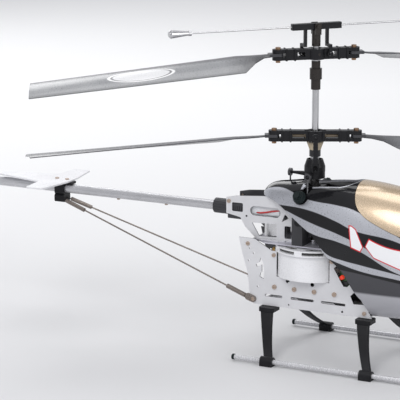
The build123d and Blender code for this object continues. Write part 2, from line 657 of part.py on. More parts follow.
# Side profile of what the canopy leaves open: everything behind and below its edge.
EDGE = ((-60.0, 158.0), (-42.0, 156.0), (-31.5, 153.5), (-20.6, 148.6), (-9.8, 142.5), (3.0, 135.0),
        (15.0, 127.5), (24.0, 117.5), (32.0, 109.0), (50.0, 94.0), (57.0, 82.0), (67.0, 68.0),
        (76.0, 46.0), (76.0, 30.0), (-60.0, 30.0))
WINDOW = ((50.0, 190.0), (53.0, 174.0), (58.0, 161.0), (68.0, 151.5), (84.0, 144.0),
          (106.0, 136.0), (132.0, 132.5), (152.0, 137.0), (163.0, 146.0), (172.0, 165.0),
          (172.0, 190.0))
shell = canopy_body(0.0)
hollow = canopy_body(WALL)
with BuildPart() as rear_cut:
    with BuildSketch(side(60.0)):
        with BuildLine():
            Spline(*EDGE[1:12])
            Polyline(*EDGE[11:15], EDGE[0], EDGE[1])
        make_face()
    extrude(amount=120.0)
with BuildPart() as mast_slot:
    with BuildSketch(level(150.0)):
        with Locations((20.0, 0)):
            SlotOverall(62.0, 37.0)
        # narrow behind for the pitch pushrod, notched at the right for the roll pushrod
        with Locations((-18.0, 0)):
            SlotOverall(40.0, 8.0)
        with Locations((1.5, -20.0)):
            Circle(5.0)
    extrude(amount=60.0)


def window_block(spread):
    """Block with the window's side outline, spread outwards from a point above its middle."""
    outline = []
    for x, z in WINDOW:
        away = Vector(x - 110.0, z - 176.0).normalized() * spread
        outline.append((x + away.X, z + away.Y))
    with BuildPart() as block:
        with BuildSketch(side(60.0)):
            with BuildLine():
                Spline(*outline[0:10])
                Polyline(outline[9], outline[10], outline[0])
            make_face()
        extrude(amount=120.0)
    return block.part


with BuildPart() as canopy_shell:
    add(shell)
    add(hollow, mode=Mode.SUBTRACT)
    add(rear_cut.part, mode=Mode.SUBTRACT)
    add(mast_slot.part, mode=Mode.SUBTRACT)
    add(window_block(0.4), mode=Mode.SUBTRACT)
save(canopy_shell, "canopy_shell")

with BuildPart() as canopy_window:
    add(shell)
    add(hollow, mode=Mode.SUBTRACT)
    add(window_block(0.0), mode=Mode.INTERSECT)
    add(mast_slot.part, mode=Mode.SUBTRACT)
save(canopy_window, "canopy_window")

GROMMET_X, GROMMET_Z = -2.0, 161.0
with BuildPart() as canopy_fasteners:
    for sign in SIDES:
        outward = Plane(origin=(MAST_X + GROMMET_X, sign * 31.6, GROMMET_Z + 1.2), x_dir=(1, 0, 0),
                        z_dir=(0, sign * cos(radians(28)), sin(radians(28))))
        # rubber grommet and, apart from it, the nut on its post
        with BuildSketch(outward):
            Circle(6.6)
        extrude(amount=4.5, taper=16)
        with BuildSketch(outward.offset(4.5)):
            Circle(4.0)
        extrude(amount=1.4)
        with BuildSketch(outward.offset(5.95)):
            RegularPolygon(3.2, 6)
        extrude(amount=2.4)
save(canopy_fasteners, "canopy_fasteners")

# ---- shafts ---------------------------------------------------------------------------
with BuildPart() as inner_shaft:
    with BuildSketch(level(FRAME_BOTTOM_Z + 13.5)):
        Circle(INNER_R)
        Circle(INNER_R - 0.9, mode=Mode.SUBTRACT)
    extrude(amount=FLYBAR_Z - 8.0 - FRAME_BOTTOM_Z - 13.5)
    with BuildSketch(across(ROCK_AZ, UPPER_HUB_Z, -INNER_R - 1.0)):
        Circle(1.25)
    extrude(amount=2 * INNER_R + 2.0, mode=Mode.SUBTRACT)
save(inner_shaft, "inner_shaft")

OUTER_TOP_Z = LOWER_HUB_Z - 8.5
with BuildPart() as outer_shaft:
    with BuildSketch(level(UPPER_GEAR_Z - 1.6)):
        Circle(OUTER_R)
        Circle(OUTER_BORE_R, mode=Mode.SUBTRACT)
    extrude(amount=OUTER_TOP_Z - UPPER_GEAR_Z + 1.6)
    # plain bushes at both ends that the inner shaft runs in
    for z in (UPPER_GEAR_Z - 1.6, OUTER_TOP_Z - 6.0):
        with BuildSketch(level(z)):
            Circle(OUTER_BORE_R)
            Circle(INNER_R + RUN, mode=Mode.SUBTRACT)
        extrude(amount=6.0)
save(outer_shaft, "outer_shaft")

with BuildPart() as shaft_collars:
    # stop collar, clamp sleeve and screw collar under the upper hub
    for z, height, radius in ((258.5 + 5.8, 9.8, 4.7), (274.4, 10.6, 6.0), (285.2, 7.2, 4.4)):
        with BuildSketch(level(z)):
            Circle(radius)
            Circle(INNER_R, mode=Mode.SUBTRACT)
        extrude(amount=height)
save(shaft_collars, "upper_shaft_collars")


# ---- rotor heads ----------------------------------------------------------------------
def hub_bar(azimuth, z, half, window):
    """Bar of a hub: solid middle, framed arms with windows, forked ends for the blades."""
    bolt_r = half - ROOT_BOLT_BACK
    with BuildPart() as bar:
        with BuildSketch(level(z - HUB_HEIGHT / 2, 0, 0, azimuth)):
            Rectangle(2 * (half - 5.0), 9.0)
            with Locations((bolt_r, 0), (-bolt_r, 0)):
                Circle(5.6)
            Circle(8.6)
        extrude(amount=HUB_HEIGHT)
        for turn in (azimuth, azimuth + 180.0):
            # ribs round the arm
            for rib_r in (bolt_r - 7.6, bolt_r - 16.0):
                with BuildSketch(across(turn, z, rib_r - 0.8)):
                    Rectangle(11.0, HUB_HEIGHT + 1.2)
                extrude(amount=1.6)
            # fork and bolt hole
            with BuildSketch(level(z - FORK_GAP / 2, 0, 0, turn)):
                with Locations((bolt_r + 5.0, 0)):
                    Rectangle(23.2, 16.0)
            extrude(amount=FORK_GAP, mode=Mode.SUBTRACT)
            with BuildSketch(level(z - HUB_HEIGHT, 0, 0, turn)):
                with Locations((bolt_r, 0)):
                    Circle(1.3)
            extrude(amount=2 * HUB_HEIGHT, mode=Mode.SUBTRACT)
            # window through the arm from side to side
            start, width = window
            sideways = Plane(origin=(MAST_X, 0, z), z_dir=(sin(radians(turn)), -cos(radians(turn)), 0),
                             x_dir=(cos(radians(turn)), sin(radians(turn)), 0))
            with BuildSketch(sideways):
                with Locations((start + width / 2, 0)):
                    Rectangle(width, HUB_HEIGHT - 6.2)
            extrude(amount=12.0, both=True, mode=Mode.SUBTRACT)
    return bar.part


def cross_bore(azimuth, z, radius):
    """Long level cylinder across the mast, to be cut out of a head."""
    with BuildPart() as bore:
        with BuildSketch(across(azimuth, z, -20.0)):
            Circle(radius)
        extrude(amount=40.0)
    return bore.part


# The upper hub rocks on a pin across the inner shaft; its bore is long enough for that.
with BuildPart() as upper_hub:
    add(hub_bar(UPPER_AZ, UPPER_HUB_Z, UPPER_HALF, (11.5, 8.0)))
    with BuildSketch(level(UPPER_HUB_Z - 12.0, 0, 0, FLYBAR_AZ)):
        SlotOverall(2 * INNER_R + 3.4, 2 * INNER_R + 0.8)
    extrude(amount=24.0, mode=Mode.SUBTRACT)
    add(cross_bore(ROCK_AZ, UPPER_HUB_Z, 1.25 + RUN), mode=Mode.SUBTRACT)
    # lugs for the flybar links, with a ball on each
    for turn in (FLYBAR_AZ, FLYBAR_AZ + 180.0):
        ux, uy = cos(radians(turn)), sin(radians(turn))
        lug = Plane(origin=(MAST_X + LINK_ARM * ux, LINK_ARM * uy, UPPER_HUB_Z),
                    x_dir=(ux, uy, 0), z_dir=(uy, -ux, 0))
        with BuildSketch(lug.offset(3.6)):
            Circle(1.3)
        extrude(amount=6.8)
save(upper_hub, "upper_hub")

with BuildPart() as head_post:
    # post on top of the inner shaft, forked for the flybar's pivot pin
    with BuildSketch(level(UPPER_HUB_Z + 7.4)):
        Circle(4.3)
        Circle(INNER_R, mode=Mode.SUBTRACT)
    extrude(amount=FLYBAR_Z - 8.0 - UPPER_HUB_Z - 7.4)
    with BuildSketch(level(FLYBAR_Z - 8.0)):
        Circle(4.3)
    extrude(amount=4.2)
    for sign in (1, -1):
        cheek_x = MAST_X + sign * 4.6 * cos(radians(ROCK_AZ))
        cheek_y = sign * 4.6 * sin(radians(ROCK_AZ))
        with BuildSketch(Plane(origin=(cheek_x, cheek_y, FLYBAR_Z - 8.0), z_dir=(0, 0, 1),
                               x_dir=(cos(radians(ROCK_AZ)), sin(radians(ROCK_AZ)), 0))):
            Rectangle(1.8, 6.4)
        extrude(amount=11.4)
    add(cross_bore(ROCK_AZ, FLYBAR_Z, 1.0), mode=Mode.SUBTRACT)
save(head_post, "head_post")

with BuildPart() as head_pins:
    # rocking pin of the hub, pivot pin of the flybar and their heads
    with BuildSketch(across(ROCK_AZ, UPPER_HUB_Z, -8.4)):
        Circle(1.25)
    extrude(amount=16.8)
    with BuildSketch(across(ROCK_AZ, FLYBAR_Z, -7.2)):
        Circle(1.0)
    extrude(amount=14.4)
    for out in (-7.0, 5.8):
        with BuildSketch(across(ROCK_AZ, FLYBAR_Z, out)):
            Circle(2.1)
        extrude(amount=1.2)
    with BuildSketch(across(ROCK_AZ - 45.0, UPPER_HUB_Z + 12.0, -5.6)):
        Circle(1.9)
    extrude(amount=1.2)
save(head_pins, "head_pins")

with BuildPart() as flybar:
    with BuildSketch(level(FLYBAR_Z - 3.0, 0, 0, FLYBAR_AZ)):
        Rectangle(52.0, 6.4)
    extrude(amount=6.0)
    fillet(flybar.edges().filter_by(Axis.Z), 1.2)
    # slots that let the links stand in the bar
    for sign in (1, -1):
        spot_x = sign * LINK_ARM * cos(radians(FLYBAR_AZ))
        spot_y = sign * LINK_ARM * sin(radians(FLYBAR_AZ))
        with BuildSketch(level(FLYBAR_Z - 3.2, spot_x, spot_y, FLYBAR_AZ)):
            Rectangle(5.4, 3.4)
        extrude(amount=5.6, mode=Mode.SUBTRACT)
        with BuildSketch(Plane(origin=(MAST_X + spot_x, spot_y, FLYBAR_Z),
                               z_dir=(cos(radians(ROCK_AZ)), sin(radians(ROCK_AZ)), 0))):
            Circle(0.8)
        extrude(amount=2.6, both=True)
    add(cross_bore(ROCK_AZ, FLYBAR_Z, 1.0 + RUN), mode=Mode.SUBTRACT)
save(flybar, "flybar_centre")

with BuildPart() as flybar_rods:
    for turn in (FLYBAR_AZ, FLYBAR_AZ + 180.0):
        with BuildSketch(across(turn, FLYBAR_Z, 26.05)):
            Circle(FLYBAR_ROD_R)
        extrude(amount=FLYBAR_TIP_R - 30.0)
        # cone weight with a collar at its inner end
        with BuildSketch(across(turn, FLYBAR_Z, FLYBAR_TIP_R - 20.0)):
            Circle(2.1)
        with BuildSketch(across(turn, FLYBAR_Z, FLYBAR_TIP_R - 2.0)):
            Circle(4.2)
        loft()
        with BuildSketch(across(turn, FLYBAR_Z, FLYBAR_TIP_R - 2.0)):
            Circle(4.2)
        extrude(amount=2.0, taper=38)
        with BuildSketch(across(turn, FLYBAR_Z, FLYBAR_TIP_R - 22.6)):
            Circle(2.6)
        extrude(amount=2.6)
save(flybar_rods, "flybar_rods")

for letter, sign in (("a", 1), ("b", -1)):
    ux, uy = sign * cos(radians(FLYBAR_AZ)), sign * sin(radians(FLYBAR_AZ))
    with BuildPart() as link:
        upright = Plane(origin=(MAST_X + LINK_ARM * ux, LINK_ARM * uy, 0), x_dir=(ux, uy, 0),
                        z_dir=(uy, -ux, 0))
        with BuildSketch(upright.offset(-1.3)):
            with Locations((0, FLYBAR_Z)):
                Circle(2.1)
            with Locations((0, (FLYBAR_Z + UPPER_HUB_Z + 7.0) / 2)):
                Rectangle(3.0, FLYBAR_Z - UPPER_HUB_Z - 7.0)
            with Locations((0, FLYBAR_Z)):
                Circle(0.8 + RUN, mode=Mode.SUBTRACT)
        extrude(amount=2.6)
        # the lower end steps out beside the hub and ends in an eye round the lug
        with BuildSketch(upright.offset(-1.3)):
            with Locations((0, UPPER_HUB_Z + 8.2)):
                Rectangle(3.0, 2.6)
        extrude(amount=11.0)
        with BuildSketch(upright.offset(7.4)):
            with Locations((0, UPPER_HUB_Z + 4.7)):
                Rectangle(3.0, 9.4)
            with Locations((0, UPPER_HUB_Z)):
                Circle(3.0)
                Circle(1.3 + GAP, mode=Mode.SUBTRACT)
        extrude(amount=2.3)
    save(link, f"flybar_link_{letter}")

# ---- lower rotor head: cradle, feathering spindle, hub and swashplate -------------------
with BuildPart() as cradle:
    with BuildSketch(level(OUTER_TOP_Z - 12.0)):
        Circle(OUTER_R + 1.2)
        Circle(OUTER_R, mode=Mode.SUBTRACT)
    extrude(amount=12.0)
    with BuildSketch(level(OUTER_TOP_Z)):
        Circle(OUTER_R + 1.2)
        Circle(INNER_R + 0.3, mode=Mode.SUBTRACT)
    extrude(amount=1.5)
    # two cheeks across the blades' direction that carry the spindle beside the shaft
    for turn in (LOWER_AZ, LOWER_AZ + 180.0):
        with BuildSketch(Plane(origin=(MAST_X, 0, 0), z_dir=(sin(radians(turn)), -cos(radians(turn)), 0),
                               x_dir=(cos(radians(turn)), sin(radians(turn)), 0))):
            with BuildLine():
                Polyline((OUTER_R + 0.4, OUTER_TOP_Z - 7.0), (9.6, LOWER_HUB_Z - 2.6),
                         (9.6, LOWER_HUB_Z + 2.4), (6.6, LOWER_HUB_Z + 2.4),
                         (6.6, OUTER_TOP_Z + 1.5), (OUTER_R + 0.4, OUTER_TOP_Z + 1.5), close=True)
            make_face()
        extrude(amount=2.4, both=True)
    # spindles that the hub feathers on
    for turn in (LOWER_AZ, LOWER_AZ + 180.0):
        with BuildSketch(across(turn, LOWER_HUB_Z, 6.8)):
            Circle(1.5)
        extrude(amount=25.4)
save(cradle, "lower_head_cradle")

with BuildPart() as lower_hub:
    add(hub_bar(LOWER_AZ, LOWER_HUB_Z, LOWER_HALF, (9.4, 13.0)))
    # open middle round the mast and the cradle
    with BuildSketch(level(LOWER_HUB_Z - 12.0, 0, 0, LOWER_AZ)):
        Rectangle(21.2, 5.8)
        Circle(INNER_R + 2.2)
    extrude(amount=24.0, mode=Mode.SUBTRACT)
    for turn in (LOWER_AZ, LOWER_AZ + 180.0):
        with BuildSketch(across(turn, LOWER_HUB_Z, 9.0)):
            Circle(1.5 + RUN)
        extrude(amount=24.0, mode=Mode.SUBTRACT)
        # pitch levers across the blades, each with a ball
        lever = across(turn + 90.0, LOWER_HUB_Z, 7.6)
        with BuildSketch(lever):
            Circle(1.4)
        extrude(amount=4.6)
        ball_x = PITCH_LINK_R * cos(radians(turn + 90.0))
        ball_y = PITCH_LINK_R * sin(radians(turn + 90.0))
        with Locations((MAST_X + ball_x, ball_y, LOWER_HUB_Z)):
            Sphere(2.2)
save(lower_hub, "lower_hub")

with BuildPart() as swash_ball:
    with Locations((MAST_X, 0, SWASH_Z)):
        Sphere(7.4)
    with BuildSketch(level(SWASH_Z - 4.0)):
        Circle(12.0)
        Circle(OUTER_R + 0.9, mode=Mode.SUBTRACT)
    extrude(amount=8.0, mode=Mode.INTERSECT)
save(swash_ball, "swashplate_ball")

with BuildPart() as swash_ring:
    with BuildSketch(level(SWASH_Z - 3.2)):
        Circle(10.2)
    extrude(amount=6.4)
    with BuildSketch(level(SWASH_Z + 3.2)):
        Circle(9.2)
    extrude(amount=3.0)
    with BuildSketch(level(SWASH_Z)):
        Circle(6.9)
    extrude(amount=7.0, both=True, mode=Mode.SUBTRACT)
    with Locations((MAST_X, 0, SWASH_Z)):
        Sphere(7.75, mode=Mode.SUBTRACT)
    # long tapered arm to the rear, with a ball at its end
    with BuildSketch(cross(-9.6, 0, SWASH_Z)):
        Ellipse(3.0, 2.4)
    with BuildSketch(cross(-24.6, 0, SWASH_Z)):
        Ellipse(1.3, 1.3)
    loft()
    with Locations((MAST_X - 26.3, 0, SWASH_Z)):
        Sphere(2.0)
    # short arm to the right
    with BuildSketch(side(-9.6, 0, SWASH_Z)):
        Circle(1.5)
    extrude(amount=5.6)
    with Locations((MAST_X, -16.4, SWASH_Z)):
        Sphere(2.0)
save(swash_ring, "swashplate_ring")

with BuildPart() as swash_rotor:
    with BuildSketch(level(SWASH_Z + 3.5)):
        Circle(10.4)
        Circle(9.2 + RUN, mode=Mode.SUBTRACT)
    extrude(amount=4.8)
    # hood that narrows towards the mast
    with BuildSketch(level(SWASH_Z + 8.3)):
        Circle(10.4)
    with BuildSketch(level(SWASH_Z + 15.5)):
        Circle(8.0)
    loft()
    with BuildSketch(level(SWASH_Z + 6.6)):
        Circle(7.0)
    extrude(amount=12.0, mode=Mode.SUBTRACT)
    for turn in (LOWER_AZ - 90.0, LOWER_AZ + 90.0):
        with BuildSketch(across(turn, SWASH_Z + 5.9, 9.8)):
            Circle(LUG_R)
        extrude(amount=5.4)
save(swash_rotor, "swashplate_rotor")

for letter, turn in (("a", LOWER_AZ - 90.0), ("b", LOWER_AZ + 90.0)):
    ux, uy = cos(radians(turn)), sin(radians(turn))
    with BuildPart() as pitch_link:
        outward = Plane(origin=(MAST_X + PITCH_LINK_R * ux, PITCH_LINK_R * uy, 0), z_dir=(ux, uy, 0),
                        x_dir=(-uy, ux, 0))
        with BuildSketch(outward.offset(-1.3)):
            with Locations((0, (LOWER_HUB_Z + SWASH_Z + 9.0) / 2)):
                Rectangle(4.6, LOWER_HUB_Z - SWASH_Z - 15.0)
            with Locations((0, LOWER_HUB_Z)):
                Circle(3.9)
            # fork whose prongs stand on both sides of the swashplate's lug
            with Locations((0, SWASH_Z + 8.7)):
                Rectangle(7.0, 8.6)
            with Locations((0, SWASH_Z + 6.4)):
                SlotOverall(10.0, 4.7, rotation=90, mode=Mode.SUBTRACT)
        extrude(amount=2.6)
        with Locations((MAST_X + PITCH_LINK_R * ux, PITCH_LINK_R * uy, LOWER_HUB_Z)):
            Sphere(2.2 + RUN, mode=Mode.SUBTRACT)
    save(pitch_link, f"lower_pitch_link_{letter}")

# ---- servo arms and pushrods --------------------------------------------------------------
PITCH_ARM_X = -26.3
with BuildPart() as pitch_arm:
    with BuildSketch(side(6.6, SERVO_PIVOT_X, SERVO_PIVOT_Z)):
        Circle(3.4)
        with BuildLine():
            Polyline((0, 3.4), (PITCH_ARM_X - SERVO_PIVOT_X, 1.9),
                     (PITCH_ARM_X - SERVO_PIVOT_X, -1.9), (0, -3.4), close=True)
        make_face()
        with Locations((PITCH_ARM_X - SERVO_PIVOT_X, 0)):
            Circle(1.9)
    extrude(amount=1.6)
    with BuildSketch(side(6.6, PITCH_ARM_X, SERVO_PIVOT_Z)):
        Circle(0.9)
    extrude(amount=8.2)
save(pitch_arm, "servo_arm_pitch")

ROLL_ARM_X = 6.0
with BuildPart() as roll_arm:
    with BuildSketch(side(-28.4, SERVO_PIVOT_X, SERVO_PIVOT_Z)):
        Circle(3.2)
        with BuildLine():
            Polyline((0, 3.2), (ROLL_ARM_X - SERVO_PIVOT_X, 1.9),
                     (ROLL_ARM_X - SERVO_PIVOT_X, -1.9), (0, -3.2), close=True)
        make_face()
        with Locations((ROLL_ARM_X - SERVO_PIVOT_X, 0)):
            Circle(1.9)
    extrude(amount=1.2)
    with BuildSketch(side(-28.0, ROLL_ARM_X, SERVO_PIVOT_Z)):
        Circle(0.7)
    extrude(amount=4.6)
save(roll_arm, "servo_arm_roll")

with BuildPart() as pitch_rod:
    with BuildSketch(level(SERVO_PIVOT_Z + 2.0, PITCH_ARM_X)):
        Circle(0.8)
    extrude(amount=SWASH_Z - SERVO_PIVOT_Z - 4.2)
    with BuildSketch(side(1.3, PITCH_ARM_X, SERVO_PIVOT_Z)):
        Circle(2.4)
        Circle(0.9 + RUN, mode=Mode.SUBTRACT)
    extrude(amount=2.6)
    with BuildSketch(cross(PITCH_ARM_X - 1.3, 0, SWASH_Z)):
        Circle(3.8)
    extrude(amount=2.6)
    with Locations((MAST_X + PITCH_ARM_X, 0, SWASH_Z)):
        Sphere(2.0 + GAP, mode=Mode.SUBTRACT)
save(pitch_rod, "pushrod_pitch")

with BuildPart() as roll_rod:
    # the rod leans in from the servo's arm to the swashplate's right arm
    low_end = (ROLL_ARM_X, -31.2, SERVO_PIVOT_Z)
    high_end = (0.0, -16.4, SWASH_Z)
    lean, lean_length = between(low_end, high_end)
    with BuildSketch(lean.offset(1.8)):
        Circle(0.8)
    extrude(amount=lean_length - 4.4)
    with BuildSketch(side(-30.0, ROLL_ARM_X, SERVO_PIVOT_Z)):
        Circle(2.2)
        Circle(0.7 + RUN, mode=Mode.SUBTRACT)
    extrude(amount=2.4)
    with BuildSketch(side(-15.1, 0, SWASH_Z)):
        Circle(3.8)
    extrude(amount=2.6)
    with Locations((MAST_X, -16.4, SWASH_Z)):
        Sphere(2.0 + GAP, mode=Mode.SUBTRACT)
    with BuildSketch(side(-9.0, 0, SWASH_Z)):
        Circle(1.5 + GAP)
    extrude(amount=6.4, mode=Mode.SUBTRACT)
save(roll_rod, "pushrod_roll")


# ---- blades ---------------------------------------------------------------------------------
def blade(azimuth, hub_z, half, turn, full_chord_at):
    """One blade, folded out along the azimuth; turn is +1 on the anticlockwise rotor."""
    bolt_r = half - ROOT_BOLT_BACK
    ux, uy = cos(radians(azimuth)), sin(radians(azimuth))
    bolt = Vector(MAST_X + bolt_r * ux, bolt_r * uy, hub_z)
    dip = radians(BLADE_DROOP)
    span = Vector(ux * cos(dip), uy * cos(dip), -sin(dip))
    up = Vector(ux * sin(dip), uy * sin(dip), cos(dip))
    ahead = Vector(-uy, ux, 0) * turn
    reach = (ROTOR_R - bolt_r) / cos(dip)
    edge = 0.45 * turn
    root = 7.2
    steps = 14
    stations = []
    for step in range(steps + 1):
        # closer together near the root, where the blade widens
        out = root + (reach - root) * (step / steps) ** 1.3
        widen = min(max((out - 16.0) / (full_chord_at - 16.0), 0.0), 1.0)
        widen = widen * widen * (3 - 2 * widen)
        share = (out - root) / (reach - root)
        lead = 5.0 + 3.6 * min(out / full_chord_at, 1.0) + 2.4 * share
        trail = 5.0 + (TIP_TRAIL - 5.0) * widen
        stations.append((out, lead, trail, 6.0 + 9.0 * widen - 6.5 * share, 0.3 + 1.8 * widen))
    with BuildPart() as paddle:
        for out, lead, trail, pitch, camber in stations:
            chordwise = ahead * cos(radians(pitch)) + up * sin(radians(pitch))
            middle = (lead - trail) / 2
            with BuildSketch(Plane(origin=bolt + span * out, x_dir=chordwise, z_dir=span)):
                with BuildLine():
                    Line((-trail, -edge), (-trail, edge))
                    ThreePointArc((-trail, edge), (middle, (camber + 1.0) * turn), (lead, edge))
                    Line((lead, edge), (lead, -edge))
                    ThreePointArc((lead, -edge), (middle, (camber - 0.9) * turn), (-trail, -edge))
                make_face()
        loft(ruled=True)
        # flat root tab round the bolt
        tab_plane = Plane(origin=(bolt.X, bolt.Y, hub_z - TAB / 2), x_dir=(ux, uy, 0), z_dir=(0, 0, 1))
        with BuildSketch(tab_plane):
            Circle(5.2)
            with Locations((4.6, 0)):
                Rectangle(9.2, 10.0)
        extrude(amount=TAB)
        with BuildSketch(tab_plane):
            Circle(1.2 + 0.07)
        extrude(amount=TAB, mode=Mode.SUBTRACT)
        # raked tip: the leading corner is cut back
        with BuildSketch(Plane(origin=bolt + span * reach - up * 12.0, x_dir=span, z_dir=up)):
            with BuildLine():
                Polyline((2.0, -(TIP_TRAIL + 3.0) * turn), (0.0, -TIP_TRAIL * turn), (-9.0, 12.5 * turn),
                         (2.0, 12.5 * turn), close=True)
            make_face()
        extrude(amount=30.0, mode=Mode.SUBTRACT)
    return paddle.part


for rotor, azimuth, hub_z, half, turn, full_at in (
        ("upper", UPPER_AZ, UPPER_HUB_Z, UPPER_HALF, -1, 40.0),
        ("lower", LOWER_AZ, LOWER_HUB_Z, LOWER_HALF, 1, 54.0)):
    for letter, flip in (("a", 0.0), ("b", 180.0)):
        with BuildPart() as rotor_blade:
            add(blade(azimuth + flip, hub_z, half, turn, full_at))
        save(rotor_blade, f"{rotor}_blade_{letter}")

    with BuildPart() as blade_bolts:
        bolt_r = half - ROOT_BOLT_BACK
        for flip in (azimuth, azimuth + 180.0):
            spot_x, spot_y = bolt_r * cos(radians(flip)), bolt_r * sin(radians(flip))
            add(pan_head_screw(level(hub_z + HUB_HEIGHT / 2, spot_x, spot_y, flip), 2.6, 2.0, 1.2,
                               HUB_HEIGHT + 1.0))
            with BuildSketch(level(hub_z - HUB_HEIGHT / 2 - 2.4, spot_x, spot_y)):
                RegularPolygon(2.5, 6)
            extrude(amount=2.4)
    save(blade_bolts, f"{rotor}_blade_bolts")
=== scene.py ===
"""Looks of the coaxial remote control helicopter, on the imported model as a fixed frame.

Metres, +X to the nose, +Y to the left, +Z up.  Places are taken from the frame: forward of the
mast, sideways from the middle, and up from the ground.
"""
import json
from math import cos, degrees, radians, sin

import bpy
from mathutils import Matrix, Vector


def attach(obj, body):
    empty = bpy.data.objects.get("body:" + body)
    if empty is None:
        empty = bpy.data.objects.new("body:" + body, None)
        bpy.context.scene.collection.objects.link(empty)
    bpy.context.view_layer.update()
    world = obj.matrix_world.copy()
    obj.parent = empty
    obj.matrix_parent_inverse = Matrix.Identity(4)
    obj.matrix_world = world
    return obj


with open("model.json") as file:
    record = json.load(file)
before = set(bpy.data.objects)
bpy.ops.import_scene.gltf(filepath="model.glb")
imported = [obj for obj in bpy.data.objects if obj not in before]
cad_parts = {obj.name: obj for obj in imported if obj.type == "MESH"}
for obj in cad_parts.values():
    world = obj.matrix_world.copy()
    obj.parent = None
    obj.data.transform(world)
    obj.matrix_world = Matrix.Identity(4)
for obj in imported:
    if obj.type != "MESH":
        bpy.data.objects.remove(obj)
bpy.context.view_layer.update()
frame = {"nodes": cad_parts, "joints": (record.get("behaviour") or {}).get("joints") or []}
nodes = frame["nodes"]
joint_at = {joint["name"]: Vector(joint["pos_m"]) for joint in frame["joints"]}
MAST_X = joint_at["upper_rotor_spin"].x
MM = 0.001


def at(x, y, z):
    """Point in the row frame, from millimetres forward of the mast, left and up."""
    return Vector((MAST_X + x * MM, y * MM, z * MM))


# ---- node helpers -------------------------------------------------------------------
class Graph:
    """Small helper around one material's node tree."""

    def __init__(self, name):
        self.material = bpy.data.materials.new(name)
        self.material.use_nodes = True
        self.tree = self.material.node_tree
        self.shader = self.tree.nodes["Principled BSDF"]
        self.place = self.tree.nodes.new("ShaderNodeTexCoord").outputs["Object"]

    def node(self, kind, inputs=(), **settings):
        made = self.tree.nodes.new(kind)
        for key, value in settings.items():
            setattr(made, key, value)
        for key, value in dict(inputs).items():
            self.feed(made.inputs[key], value)
        return made

    def feed(self, socket, value):
        if isinstance(value, bpy.types.NodeSocket):
            self.tree.links.new(value, socket)
        else:
            socket.default_value = value

    def math(self, operation, *values, clamp=False):
        made = self.tree.nodes.new("ShaderNodeMath")
        made.operation, made.use_clamp = operation, clamp
        for socket, value in zip(made.inputs, values):
            self.feed(socket, value)
        return made.outputs[0]

    def mix(self, share, a, b):
        made = self.tree.nodes.new("ShaderNodeMix")
        made.data_type = "RGBA"
        self.feed(made.inputs[0], share)
        self.feed(made.inputs[6], (*a, 1.0) if isinstance(a, tuple) else a)
        self.feed(made.inputs[7], (*b, 1.0) if isinstance(b, tuple) else b)
        return made.outputs[2]

    def radius(self, first, second):
        """Distance from the origin of a plane, from its two coordinates."""
        return self.math("SQRT", self.math("ADD", self.math("POWER", first, 2.0),
                                           self.math("POWER", second, 2.0)))

    def noise(self, scale, detail=3.0, stretch=(1.0, 1.0, 1.0)):
        spot = self.node("ShaderNodeMapping", {"Vector": self.place, "Scale": stretch})
        made = self.node("ShaderNodeTexNoise", {"Vector": spot.outputs[0], "Scale": scale,
                                                "Detail": detail})
        return made.outputs["Fac"]

    def spread(self, value, low, high, out_low=0.0, out_high=1.0):
        made = self.node("ShaderNodeMapRange", {"Value": value, "From Min": low, "From Max": high,
                                                "To Min": out_low, "To Max": out_high})
        return made.outputs[0]

    def bump(self, height, strength, distance=0.0003):
        made = self.node("ShaderNodeBump", {"Height": height, "Strength": strength,
                                            "Distance": distance})
        self.feed(self.shader.inputs["Normal"], made.outputs[0])


def shade(colour, factor):
    return tuple(min(channel * factor, 1.0) for channel in colour)


def finish(name, colour, metal=0.0, rough=0.45, grain=700.0, tint=0.07, wear=0.1, bump=0.12,
           coat=0.0, stretch=(1.0, 1.0, 1.0), gloss=0.5):
    """Material with a cloudy tint, fine grain in its gloss and surface, and an optional clear coat."""
    graph = Graph(name)
    cloud = graph.spread(graph.noise(38.0, 4.0), 0.3, 0.7)
    fine = graph.noise(grain, 3.0, stretch)
    mixed = graph.mix(cloud, shade(colour, 1.0 - tint), shade(colour, 1.0 + tint))
    speck = graph.spread(fine, 0.62, 0.78, 0.0, 0.35)
    graph.feed(graph.shader.inputs["Base Color"],
               graph.mix(speck, mixed, shade(colour, 1.0 - 2.2 * tint)))
    graph.feed(graph.shader.inputs["Roughness"],
               graph.spread(fine, 0.3, 0.7, max(rough - wear, 0.05), min(rough + wear, 0.95)))
    graph.bump(fine, bump)
    graph.shader.inputs["Metallic"].default_value = metal
    graph.shader.inputs["Coat Weight"].default_value = coat
    graph.shader.inputs["Coat Roughness"].default_value = 0.08
    graph.shader.inputs["Specular IOR Level"].default_value = gloss
    return graph.material


LENGTHWISE = (0.05, 1.0, 1.0)
UPRIGHT = (1.0, 1.0, 0.05)
FRAME_WHITE = finish("painted_frame", (0.80, 0.80, 0.82), metal=0.25, rough=0.38, coat=0.3, bump=0.05)
GUARD_WHITE = finish("moulded_guard", (0.84, 0.84, 0.86), rough=0.3, coat=0.3, bump=0.05, tint=0.04)
DECK_GREY = finish("deck_metal", (0.60, 0.59, 0.66), metal=0.5, rough=0.36, bump=0.06, coat=0.2)
BLACK = finish("black_plastic", (0.010, 0.010, 0.012), rough=0.42, tint=0.25, bump=0.2, grain=1400.0,
               gloss=0.22)
HEAD_BLACK = finish("head_nylon", (0.011, 0.011, 0.013), rough=0.36, tint=0.25, bump=0.22, grain=1600.0,
                    gloss=0.25)
PANEL_GREY = finish("dark_panel", (0.035, 0.035, 0.040), rough=0.4, tint=0.12, bump=0.15, grain=1300.0)
RUBBER = finish("rubber", (0.009, 0.015, 0.016), rough=0.6, tint=0.3, bump=0.3, grain=1200.0, gloss=0.2)
TUBE_WHITE = finish("painted_tube", (0.60, 0.60, 0.62), metal=0.3, rough=0.25, coat=0.5, bump=0.03)
